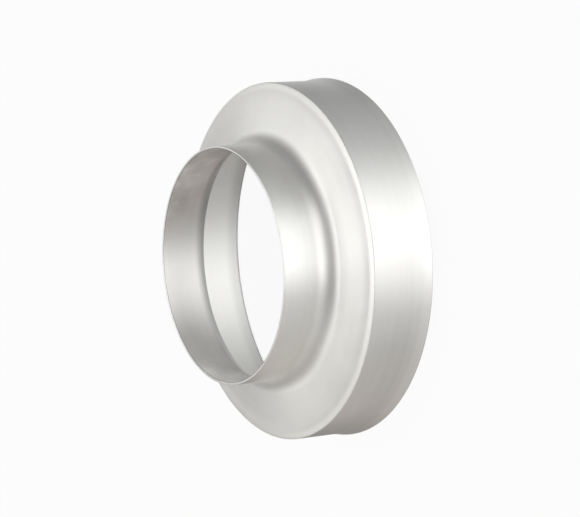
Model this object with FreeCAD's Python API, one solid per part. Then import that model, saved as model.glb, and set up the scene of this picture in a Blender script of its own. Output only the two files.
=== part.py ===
import FreeCAD, Part
import math
import os

# A duct reducer: one shell of sheet aluminium, spun on a lathe, that joins a
# 150 mm duct to a 100 mm duct. Lengths are in millimetres.
# The axis of the spinning is Z. The wide mouth stands on z = 0 and the small
# collar points up. Every size is measured on the outside of the metal.

# the two collars and the length over both
large_diameter = 149.0
small_diameter = 98.5
overall_length = 53.0

# the sheet, and the small chamfer that takes the burr off the cut rims
wall = 1.0
rim_break = 0.2

# the mouth of the large collar opens outwards over a short length
flare_width = 1.1
flare_length = 5.6
flare_bend = 34.0

# the crisp shoulder at the front of the large collar, and the rounded lip that
# rises from it to the edge of the flange
shoulder_height = 27.1
lip_width = 1.1
lip_rise = 0.58
lip_bend = 5.5

# the flange rises gently towards the throat, where it sweeps into the small collar
flange_rise = 3.05
throat_bend = 8.0


class Corner:
    """A corner of the shell's outline, at a distance from the axis and a height.

    bend is the radius that rounds the corner, and none leaves it crisp."""

    def __init__(self, radius, height, bend=None):
        self.place = FreeCAD.Vector(radius, 0, height)
        self.bend = bend


def outline():
    """The corners of the outside, from below the wide mouth up to the small rim.

    The flare starts a little below the mouth, so that the rim can be cut square."""
    large_radius = large_diameter / 2
    small_radius = small_diameter / 2
    trim = wall
    flare_per_length = flare_width / flare_length
    lip_height = shoulder_height + lip_rise
    throat_height = lip_height + flange_rise
    return [
        Corner(large_radius + flare_width + trim * flare_per_length, -trim),
        Corner(large_radius, flare_length, flare_bend),
        Corner(large_radius, shoulder_height),
        Corner(large_radius - lip_width, lip_height, lip_bend),
        Corner(small_radius, throat_height, throat_bend),
        Corner(small_radius, overall_length),
    ]


def bend_arc(last, here, following):
    """The arc that rounds a corner and is tangent to the runs before and after it."""
    before = (here.place - last.place).normalize()
    after = (following.place - here.place).normalize()
    half_turn = before.getAngle(after) / 2
    setback = here.bend * math.tan(half_turn)
    bulge = here.bend * (1 / math.cos(half_turn) - 1)
    start = here.place - before * setback
    middle = here.place + (after - before).normalize() * bulge
    end = here.place + after * setback
    return Part.Arc(start, middle, end).toShape()


def bent_wire(corners):
    """One wire of straight runs through the corners, with an arc at each bend."""
    edges = []
    reached = corners[0].place
    for last, here, following in zip(corners, corners[1:], corners[2:]):
        if here.bend is None:
            edges.append(Part.LineSegment(reached, here.place).toShape())
            reached = here.place
        else:
            arc = bend_arc(last, here, following)
            edges.append(Part.LineSegment(reached, arc.firstVertex().Point).toShape())
            edges.append(arc)
            reached = arc.lastVertex().Point
    edges.append(Part.LineSegment(reached, corners[-1].place).toShape())
    return Part.Wire(edges)


def spun_shell():
    """The outline thickened inwards by the wall and turned once about the axis.

    With join=2 the inside meets in a corner where the outside does."""
    section = bent_wire(outline()).makeOffset2D(wall, join=2, fill=True, openResult=True)
    blank = section.revolve(FreeCAD.Vector(0, 0, 0), FreeCAD.Vector(0, 0, 1), 360)
    return blank.common(Part.makeCylinder(large_diameter, overall_length))


def broken_rims(shell):
    """The shell with a chamfer on the inner and outer edge of both cut rims."""
    rim_heights = (0.0, overall_length)
    tiny = 1e-6
    edges = [edge for edge in shell.Edges
             if len(edge.Vertexes) == 1
             and any(abs(edge.Vertexes[0].Z - height) < tiny for height in rim_heights)]
    return shell.makeChamfer(rim_break, edges)


os.makedirs("parts", exist_ok=True)
reducer = broken_rims(spun_shell())
reducer.exportStep("parts/reducer.step")
box = reducer.optimalBoundingBox(False)
print("solids", len(reducer.Solids), "valid", reducer.isValid(), "volume mm3", round(reducer.Volume))
print("across", round(box.XLength, 2), "high", round(box.ZLength, 2), "lowest", round(box.ZMin, 3))
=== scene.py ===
import math

import bpy
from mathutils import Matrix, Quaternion, Vector


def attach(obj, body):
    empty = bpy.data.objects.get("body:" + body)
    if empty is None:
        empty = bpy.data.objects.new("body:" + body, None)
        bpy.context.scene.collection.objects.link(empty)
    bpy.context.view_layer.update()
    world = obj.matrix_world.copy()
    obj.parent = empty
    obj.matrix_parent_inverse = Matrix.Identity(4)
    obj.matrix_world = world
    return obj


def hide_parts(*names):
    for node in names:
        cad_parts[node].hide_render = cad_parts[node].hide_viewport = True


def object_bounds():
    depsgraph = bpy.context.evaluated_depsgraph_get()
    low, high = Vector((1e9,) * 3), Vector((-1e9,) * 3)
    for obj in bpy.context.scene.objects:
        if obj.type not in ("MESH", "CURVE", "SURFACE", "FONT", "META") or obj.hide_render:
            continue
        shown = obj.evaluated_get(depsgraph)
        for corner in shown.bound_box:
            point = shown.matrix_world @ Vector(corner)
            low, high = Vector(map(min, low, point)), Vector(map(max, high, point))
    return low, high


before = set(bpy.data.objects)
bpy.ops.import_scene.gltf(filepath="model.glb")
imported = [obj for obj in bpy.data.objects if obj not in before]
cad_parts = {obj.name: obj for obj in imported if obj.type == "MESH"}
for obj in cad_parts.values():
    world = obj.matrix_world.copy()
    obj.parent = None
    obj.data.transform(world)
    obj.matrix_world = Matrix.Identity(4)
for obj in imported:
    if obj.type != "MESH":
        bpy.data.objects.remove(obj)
cad_low, cad_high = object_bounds()

MM = 0.001

# the section of the shell, measured on the outside of the metal
LARGE_RADIUS = 74.5 * MM
SMALL_RADIUS = 49.25 * MM
TOP = cad_high[2]
WALL = 1.0 * MM
FLARE_WIDTH = 1.07 * MM
FLARE_LENGTH = 4.6 * MM
FLARE_BEND = 36.0 * MM
SHOULDER_HEIGHT = 27.1 * MM
SHOULDER_BEND = 0.5 * MM
LIP_WIDTH = 1.45 * MM
LIP_RISE = 0.77 * MM
LIP_BEND = 5.8 * MM
VALLEY_WIDTH = 4.2 * MM
VALLEY_RISE = 0.21 * MM
VALLEY_BEND = 45.0 * MM
DISH_WIDTH = 7.9 * MM
DISH_RISE = 1.03 * MM
DISH_BEND = 100.0 * MM
THROAT_RISE = 2.5 * MM
THROAT_BEND = 8.0 * MM
RIM_ROUNDING = 0.35 * MM

# the angle in degrees below which an edge is smooth, and how many straight sides a
# full circle, each bend and each rim is made of
SMOOTH_BELOW = 50
AROUND = 360
FLARE_SIDES = 6
SHOULDER_SIDES = 4
LIP_SIDES = 8
VALLEY_SIDES = 6
DISH_SIDES = 6
THROAT_SIDES = 18
RIM_SIDES = 3

# the finish: the clean metal's colour, the brown tint added on one side of the bore,
# its roughness, how much less rough it is along the spinning lines than across them,
# how fine the lines and the clouds are, and how far the lines stand up and show
ALUMINIUM = (0.903, 0.900, 0.878)
BROWN = (0.022, -0.012, -0.018)
ROUGHNESS = 0.435
ANISOTROPY = 0.6
LINES_PER_METRE = 700.0
CLOUDS_PER_METRE = 75.0
LINE_HEIGHT = 0.01 * MM
LINE_STRENGTH = 0.25

# where the finish, its painted shade and shadow and its painted highlight change: how
# far each reaches from the edge that it is named for, and half the width of a crisp change
LIP_REACH = 2.3 * MM
RIM_REACH = 0.15 * MM
INNER_SHADOW_REACH = 0.35 * MM
HIGHLIGHT_REACH = 4.0 * MM
SHADE_PATCH_REACH = 7.0 * MM
FLARE_LINE_BELOW = 0.5 * MM
FLARE_LINE_ABOVE = 1.8 * MM
CRISP = 0.1 * MM

# a cone between the two faces of the flare, by its radius at the mouth and how fast
# it narrows: what lies within it is the inner face
CONE_RADIUS = LARGE_RADIUS + 0.6 * MM
CONE_SLOPE = 0.22

# the bore's painted shade on its two sides and in a patch by the rim: how much each dims
# the metal, and along X, as a share of the bore's radius, where the patch starts and
# ends, where the brown tint starts and where the painted highlight ends
SIDE_SHADE = 0.24
SHADE_PATCH = 0.05
SHADE_PATCH_FROM = 0.45
SHADE_PATCH_TO = 0.86
BROWN_FROM = 0.2
HIGHLIGHT_TO = 0.1

# the bowl around the reducer, and the share of its white that is its own glow
BOWL_RADIUS = 4.0
BOWL_BEND = 0.6 * BOWL_RADIUS
BOWL_AROUND = 96
BOWL_SIDES = 12
CLOTH_WHITE = (0.95, 0.95, 0.95, 1.0)
GLOW_SHARE = 0.92

# the colours of the soft lights
NEUTRAL = (1.0, 1.0, 1.0)
CREAM = (1.01, 1.0, 0.975)
WARM = (1.08, 1.0, 0.94)

# the soft lights, each with its azimuth, its elevation and the spread at which half
# of its strength is left, all in degrees, and its strength and its colour
SOFT_LIGHTS = {
    "front": (-6, 10, 15, 1.75, NEUTRAL),
    "front_right": (30, 15, 15, 1.5, NEUTRAL),
    "front_low": (10, -30, 32, 1.35, NEUTRAL),
    "front_left": (-55, 5, 25, 0.65, CREAM),
    "left": (-105, -10, 30, 0.5, WARM),
    "left_high": (-115, 57, 13, 1.4, CREAM),
    "right": (85, -25, 40, 0.4, NEUTRAL),
    "right_high": (130, 60, 13, 2.2, CREAM),
    "back_left": (-150, 32, 14, 1.3, CREAM),
    "back_right": (155, 30, 14, 1.4, NEUTRAL),
    "back_low": (165, -30, 20, 0.75, NEUTRAL),
    "overhead": (180, 80, 12, 3.9, NEUTRAL),
}

# the camera: what it looks at and from how far, its direction and its roll in
# degrees, and its lens and its sensor in millimetres
CAMERA_AIM = Vector((0.63, 8.66, 13.83)) * MM
CAMERA_DISTANCE = 1005.58 * MM
CAMERA_AZIMUTH = -0.0425
CAMERA_ELEVATION = 32.046
CAMERA_ROLL = 94.81
LENS = 147.53
SENSOR = 36


def only(piece):
    """Selects one piece and makes it the active one."""
    bpy.ops.object.select_all(action="DESELECT")
    piece.select_set(True)
    bpy.context.view_layer.objects.active = piece


def ring_step(radius, height, to_radius, to_height):
    """Draws the selected ring out to its next place along the axis."""
    bpy.ops.mesh.extrude_region_move(TRANSFORM_OT_translate={"value": (0, 0, to_height - height)})
    share = to_radius / radius
    bpy.ops.transform.resize(value=(share, share, 1), center_override=(0, 0, to_height))


def select_rings(piece, wanted):
    """Selects the edges of the rings whose radius and height the test accepts."""
    bpy.ops.mesh.select_all(action="DESELECT")
    bpy.ops.object.mode_set(mode="OBJECT")
    for edge in piece.data.edges:
        ends = [piece.data.vertices[i].co for i in edge.vertices]
        level = abs(ends[0].z - ends[1].z) < 1e-7
        middle = (ends[0] + ends[1]) / 2
        edge.select = level and wanted(math.hypot(middle.x, middle.y), middle.z)
    bpy.ops.object.mode_set(mode="EDIT")


def near(radius, height, reach=0.05 * MM):
    """A test for rings that lie within a small reach of a radius and a height."""
    return lambda r, z: abs(r - radius) < reach and abs(z - height) < reach


def half_turn(before, here, after):
    """Half the angle through which a bend turns the metal."""
    first = Vector((here[0] - before[0], here[1] - before[1]))
    second = Vector((after[0] - here[0], after[1] - here[1]))
    return first.angle(second) / 2


def section_corners():
    """The corners of the section from the mouth up, each with its radius and height,
    and the radius of the bend there and the sides it is made of."""
    lip_radius = LARGE_RADIUS - LIP_WIDTH
    lip_height = SHOULDER_HEIGHT + LIP_RISE
    valley_radius = lip_radius - VALLEY_WIDTH
    valley_height = lip_height + VALLEY_RISE
    dish_radius = valley_radius - DISH_WIDTH
    dish_height = valley_height + DISH_RISE
    throat_height = dish_height + THROAT_RISE
    return [
        (LARGE_RADIUS + FLARE_WIDTH, 0.0, 0.0, 0),
        (LARGE_RADIUS, FLARE_LENGTH, FLARE_BEND, FLARE_SIDES),
        (LARGE_RADIUS, SHOULDER_HEIGHT, SHOULDER_BEND, SHOULDER_SIDES),
        (lip_radius, lip_height, LIP_BEND, LIP_SIDES),
        (valley_radius, valley_height, VALLEY_BEND, VALLEY_SIDES),
        (dish_radius, dish_height, DISH_BEND, DISH_SIDES),
        (SMALL_RADIUS, throat_height, THROAT_BEND, THROAT_SIDES),
        (SMALL_RADIUS, TOP, 0.0, 0),
    ]


def shell():
    """The reducer as one thin shell, drawn up from the mouth ring by ring."""
    corners = section_corners()
    bpy.ops.object.select_all(action="DESELECT")
    bpy.ops.mesh.primitive_circle_add(vertices=AROUND, radius=corners[0][0], fill_type="NOTHING")
    piece = bpy.context.object
    piece.name = "reducer_shell"
    bpy.ops.object.mode_set(mode="EDIT")
    bpy.ops.mesh.select_all(action="SELECT")
    for here, after in zip(corners, corners[1:]):
        ring_step(*here[:2], *after[:2])
    for before, here, after in zip(corners, corners[1:], corners[2:]):
        radius, height, bend, sides = here
        setback = bend * math.tan(half_turn(before, here, after))
        select_rings(piece, near(radius, height))
        bpy.ops.mesh.bevel(offset_type="OFFSET", offset=setback, segments=sides, affect="EDGES")
    bpy.ops.mesh.select_all(action="SELECT")
    bpy.ops.mesh.normals_make_consistent(inside=False)
    bpy.ops.object.mode_set(mode="OBJECT")
    return piece


def give_wall(piece):
    """Thickens the shell inwards, cuts the mouth square and rounds both rims."""
    only(piece)
    solid = piece.modifiers.new("wall", "SOLIDIFY")
    solid.thickness = WALL
    solid.offset = -1
    solid.use_even_offset = True
    bpy.ops.object.modifier_apply(modifier="wall")
    bpy.ops.object.mode_set(mode="EDIT")
    bpy.ops.mesh.select_all(action="DESELECT")
    bpy.ops.object.mode_set(mode="OBJECT")
    for vertex in piece.data.vertices:
        vertex.select = vertex.co.z < WALL / 2
    bpy.ops.object.mode_set(mode="EDIT")
    bpy.ops.transform.resize(value=(1, 1, 0), center_override=(0, 0, 0))
    select_rings(piece, lambda r, z: z < WALL / 2 or z > TOP - WALL / 2)
    bpy.ops.mesh.bevel(offset_type="OFFSET", offset=RIM_ROUNDING, segments=RIM_SIDES, affect="EDGES")
    bpy.ops.object.mode_set(mode="OBJECT")
    bpy.ops.object.shade_smooth_by_angle(angle=math.radians(SMOOTH_BELOW))


class Nodes:
    """The nodes of a material or of the world, added and joined by short calls.

    A value given to an input is a number, a vector or another node's output."""

    def __init__(self, tree):
        self.tree = tree

    def feed(self, socket, value):
        """Gives a value to one input."""
        if isinstance(value, bpy.types.NodeSocket):
            self.tree.links.new(value, socket)
        else:
            socket.default_value = value

    def add(self, kind, values=(), **settings):
        """Adds a node with its settings, and gives values to its inputs by name or number."""
        node = self.tree.nodes.new(kind)
        for name, setting in settings.items():
            setattr(node, name, setting)
        for name, value in dict(values).items():
            self.feed(node.inputs[name], value)
        return node

    def maths(self, operation, *values):
        return self.add("ShaderNodeMath", enumerate(values), operation=operation).outputs[0]

    def vector(self, operation, *values, label=""):
        node = self.add("ShaderNodeVectorMath", enumerate(values), operation=operation, label=label)
        return node.outputs["Value" if operation == "DOT_PRODUCT" else "Vector"]

    def product(self, first, *others):
        for other in others:
            first = self.maths("MULTIPLY", first, other)
        return first

    def plus_shares(self, start, *shares):
        """The start, plus each share's value times its amount."""
        for value, amount in shares:
            start = self.maths("MULTIPLY_ADD", value, amount, start)
        return start

    def above(self, value, edge, blend):
        """0 below the edge and 1 above it, with a soft step between."""
        ends = {"Value": value, "From Min": edge - blend, "From Max": edge + blend}
        step = self.add("ShaderNodeMapRange", ends, interpolation_type="SMOOTHSTEP")
        return step.outputs["Result"]

    def below(self, value, edge, blend):
        return self.maths("SUBTRACT", 1.0, self.above(value, edge, blend))

    def between(self, value, low, high, blend):
        return self.product(self.above(value, low, blend), self.below(value, high, blend))


def spinning_lines(nodes, x, y, radius, height):
    """Lines that change fast along the section and slowly around."""
    along = nodes.add("ShaderNodeCombineXYZ", {
        "X": nodes.maths("MULTIPLY", radius, LINES_PER_METRE),
        "Y": nodes.maths("MULTIPLY", height, LINES_PER_METRE),
        "Z": nodes.maths("DIVIDE", x, radius),
    })
    return nodes.add("ShaderNodeTexNoise", {
        "Vector": along.outputs[0],
        "W": nodes.maths("DIVIDE", y, radius),
        "Scale": 1.0,
        "Detail": 4.0,
    }, noise_dimensions="4D").outputs[0]


def bore_painted_shade(nodes, bore, sideways, height, cloud):
    """Painted shade on the two sides of the bore, and a cloudy patch of painted shade on
    one side of it, by the rim."""
    # painted shade: the bore darker towards its two sides along X, with clouds
    painted_side_shade = nodes.product(bore, sideways, sideways, nodes.plus_shares(SIDE_SHADE, (cloud, 0.9)))
    # painted shade in a cloudy patch on one side of the bore, by the rim
    shade_patch_side = nodes.product(nodes.above(sideways, SHADE_PATCH_FROM, 0.25), nodes.below(sideways, SHADE_PATCH_TO, 0.1))
    painted_shade_patch = nodes.product(bore, shade_patch_side, nodes.above(height, TOP - SHADE_PATCH_REACH, 6 * MM),
                          nodes.plus_shares(SHADE_PATCH, (cloud, 1.0)))
    return painted_side_shade, painted_shade_patch


def aluminium():
    """Satin spun aluminium: fine lines all round and faint clouds, rougher on the lip,
    bright cut rims, painted shade on the bore's two sides and in a patch by its rim, a
    brown tint on one side of the bore, a painted highlight in the bore by the rim, a
    painted shadow along the narrow rim's inner edge, and a line where the flare starts."""
    material = bpy.data.materials.new("spun_aluminium")
    material.use_nodes = True
    nodes = Nodes(material.node_tree)
    surface = material.node_tree.nodes["Principled BSDF"]
    surface.inputs["Metallic"].default_value = 1.0
    surface.inputs["Anisotropic"].default_value = ANISOTROPY
    surface.inputs["Anisotropic Rotation"].default_value = 0.25
    around = nodes.add("ShaderNodeTangent", direction_type="RADIAL", axis="Z")
    nodes.feed(surface.inputs["Tangent"], around.outputs[0])

    place = nodes.add("ShaderNodeTexCoord").outputs["Object"]
    x, y, height = nodes.add("ShaderNodeSeparateXYZ", {0: place}).outputs
    radius = nodes.maths("SQRT", nodes.maths("ADD", nodes.product(x, x), nodes.product(y, y)))
    sideways = nodes.maths("DIVIDE", x, radius)
    lines = spinning_lines(nodes, x, y, radius, height)
    clouds = nodes.add("ShaderNodeTexNoise", {"Vector": place, "Scale": CLOUDS_PER_METRE, "Detail": 5.0})
    # both lie evenly about 0
    line = nodes.maths("SUBTRACT", lines, 0.5)
    cloud = nodes.maths("SUBTRACT", clouds.outputs[0], 0.5)

    # each of these is 1 on the part of the metal that it is named for, and 0 elsewhere
    bore = nodes.below(radius, SMALL_RADIUS - WALL / 2, CRISP)
    lip = nodes.product(nodes.above(radius, LARGE_RADIUS - LIP_REACH, 0.5 * MM),
                        nodes.above(height, SHOULDER_HEIGHT - CRISP, CRISP))
    rims = nodes.maths("MAXIMUM", nodes.above(height, TOP - RIM_REACH, CRISP),
                       nodes.below(height, RIM_REACH, CRISP))
    # painted highlight: the bore a little brighter by the rim, on the side away from +X
    painted_highlight_by_rim = nodes.product(bore, nodes.above(height, TOP - HIGHLIGHT_REACH, 3 * MM),
                                nodes.below(sideways, HIGHLIGHT_TO, 0.3))
    # painted shadow along the inner edge of the narrow rim
    painted_shadow_inner_edge = nodes.product(nodes.above(height, TOP - INNER_SHADOW_REACH, CRISP),
                               nodes.below(radius, SMALL_RADIUS - WALL + RIM_REACH, CRISP))
    within_cone = nodes.below(nodes.plus_shares(radius, (height, CONE_SLOPE)), CONE_RADIUS, CRISP)
    inside_flare = nodes.product(within_cone, nodes.below(height, FLARE_LENGTH, 2 * MM))
    flare_line = nodes.between(height, FLARE_LENGTH - FLARE_LINE_BELOW, FLARE_LENGTH + FLARE_LINE_ABOVE,
                               1 * MM)
    # the painted shade in the bore
    painted_side_shade, painted_shade_patch = bore_painted_shade(nodes, bore, sideways, height, cloud)

    rough = nodes.plus_shares(ROUGHNESS, (lip, 0.06), (line, 0.08), (cloud, 0.06), (rims, -0.12))
    nodes.feed(surface.inputs["Roughness"], rough)

    # the brightness: painted shade and a painted shadow dim the metal, and a painted highlight brightens it,
    # beside its real marks
    gain = nodes.plus_shares(1.0, (painted_side_shade, -1.0), (painted_shade_patch, -1.0), (painted_highlight_by_rim, 0.05), (painted_shadow_inner_edge, -0.45),
                             (inside_flare, -0.12), (flare_line, -0.025), (rims, 0.08), (line, 0.08),
                             (cloud, 0.10))
    # a mottled brown tint on one side of the bore
    browned = nodes.product(bore, nodes.above(sideways, BROWN_FROM, 0.6),
                            nodes.plus_shares(1.0, (cloud, 3.0)))
    hue = nodes.vector("MULTIPLY_ADD", browned, BROWN, ALUMINIUM)
    nodes.feed(surface.inputs["Base Color"], nodes.vector("MULTIPLY", hue, gain))

    raised = {"Strength": LINE_STRENGTH, "Distance": LINE_HEIGHT, "Height": lines}
    nodes.feed(surface.inputs["Normal"], nodes.add("ShaderNodeBump", raised).outputs[0])
    return material


def white_cloth():
    """Matt white cloth that mostly glows by itself, and keeps a faint shadow."""
    material = bpy.data.materials.new("white_cloth")
    material.use_nodes = True
    material.node_tree.nodes.clear()
    nodes = Nodes(material.node_tree)
    matt = nodes.add("ShaderNodeBsdfDiffuse", {"Color": CLOTH_WHITE})
    glow = nodes.add("ShaderNodeEmission", {"Strength": 1.0})
    both = nodes.add("ShaderNodeMixShader", {0: GLOW_SHARE, 1: matt.outputs[0], 2: glow.outputs[0]})
    nodes.add("ShaderNodeOutputMaterial", {"Surface": both.outputs[0]})
    return material


def backdrop():
    """A wide white bowl: a floor that curves up into a wall all round.

    The lights shine through it, as through the cloth of a light tent, and the metal
    reflects them and not the cloth."""
    bpy.ops.object.select_all(action="DESELECT")
    bpy.ops.mesh.primitive_circle_add(vertices=BOWL_AROUND, radius=BOWL_RADIUS, fill_type="NGON")
    bowl = bpy.context.object
    bowl.name = "white_bowl"
    bpy.ops.object.mode_set(mode="EDIT")
    bpy.ops.mesh.select_all(action="SELECT")
    bpy.ops.mesh.extrude_region_move(TRANSFORM_OT_translate={"value": (0, 0, BOWL_RADIUS)})
    bpy.ops.mesh.delete(type="ONLY_FACE")
    select_rings(bowl, lambda r, z: z < BOWL_RADIUS / 2)
    bpy.ops.mesh.bevel(offset_type="OFFSET", offset=BOWL_BEND, segments=BOWL_SIDES, affect="EDGES")
    bpy.ops.object.mode_set(mode="OBJECT")
    bpy.ops.object.shade_smooth()
    bowl.visible_glossy = False
    bowl.visible_diffuse = False
    bowl.visible_shadow = False
    bowl.data.materials.append(white_cloth())


def towards(azimuth, elevation):
    """The direction that lies at an azimuth, counted from -Y towards +X, and an elevation."""
    azimuth, elevation = math.radians(azimuth), math.radians(elevation)
    level = math.cos(elevation)
    return math.sin(azimuth) * level, -math.cos(azimuth) * level, math.sin(elevation)


def studio():
    """Broad soft lights around the reducer, each fading away from its middle."""
    world = bpy.data.worlds.new("studio")
    bpy.context.scene.world = world
    world.use_nodes = True
    nodes = Nodes(world.node_tree)
    place = nodes.add("ShaderNodeTexCoord").outputs["Generated"]
    total = (0.0, 0.0, 0.0)
    for name, (azimuth, elevation, spread, strength, colour) in SOFT_LIGHTS.items():
        facing = nodes.vector("DOT_PRODUCT", place, towards(azimuth, elevation))
        # the exponent is 0 at the middle of the light and -ln 2 at its spread
        steep = math.log(2) / (1 - math.cos(math.radians(spread)))
        fade = nodes.maths("EXPONENT", nodes.maths("MULTIPLY_ADD", facing, steep, -steep))
        light = [strength * part for part in colour]
        total = nodes.vector("MULTIPLY_ADD", fade, light, total, label=name)
    nodes.feed(world.node_tree.nodes["Background"].inputs["Color"], total)


def camera():
    """Looks at the reducer as the photograph does: 58 degrees off its axis, which
    points left and a little down in the picture."""
    back = Vector(towards(CAMERA_AZIMUTH, CAMERA_ELEVATION))
    roll = Quaternion((0, 0, 1), -math.radians(CAMERA_ROLL))
    data = bpy.data.cameras.new("camera")
    data.sensor_width = SENSOR
    data.lens = LENS
    data.clip_start = 0.01
    data.clip_end = 20
    lens = bpy.data.objects.new("camera", data)
    bpy.context.scene.collection.objects.link(lens)
    lens.location = CAMERA_AIM + back * CAMERA_DISTANCE
    lens.rotation_mode = "QUATERNION"
    lens.rotation_quaternion = (-back).to_track_quat("-Z", "Y") @ roll
    bpy.context.scene.camera = lens


reducer = shell()
give_wall(reducer)
reducer.data.materials.append(aluminium())
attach(reducer, "root")
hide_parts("reducer")
backdrop()
studio()
camera()
bpy.context.scene.view_settings.view_transform = "Standard"
